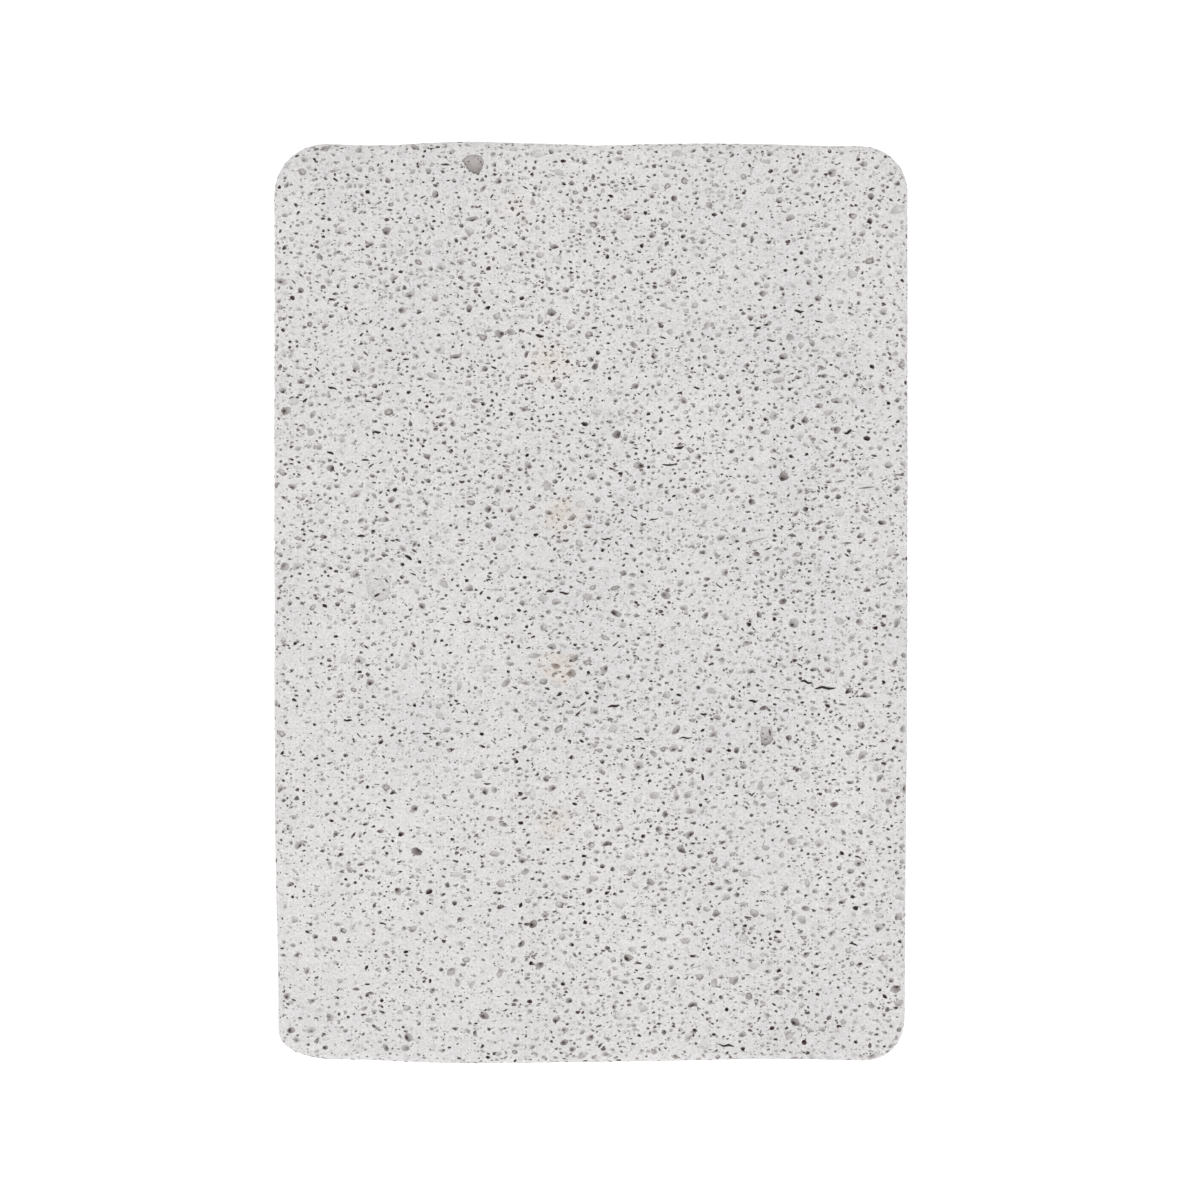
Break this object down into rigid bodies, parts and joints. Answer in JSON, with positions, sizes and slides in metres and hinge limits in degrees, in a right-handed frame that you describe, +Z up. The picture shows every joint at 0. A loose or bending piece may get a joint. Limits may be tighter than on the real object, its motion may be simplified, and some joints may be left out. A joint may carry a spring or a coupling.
{
  "type": "pumice stone",
  "caption": "Flat rounded-rectangle slab of natural pumice with open pores all over, held in the hand to rub rough skin smooth.",
  "frame": {"origin": "centre of the slab's box on the surface that it lies on", "axes": "+X across the slab, +Y along it, +Z up through its thickness, out of the face"},
  "size_m": [0.062, 0.0902, 0.02],
  "materials": {
    "pumice": null
  },
  "bodies": {
    "root": {"pumice_stone": "pumice"}
  },
  "joints": []
}
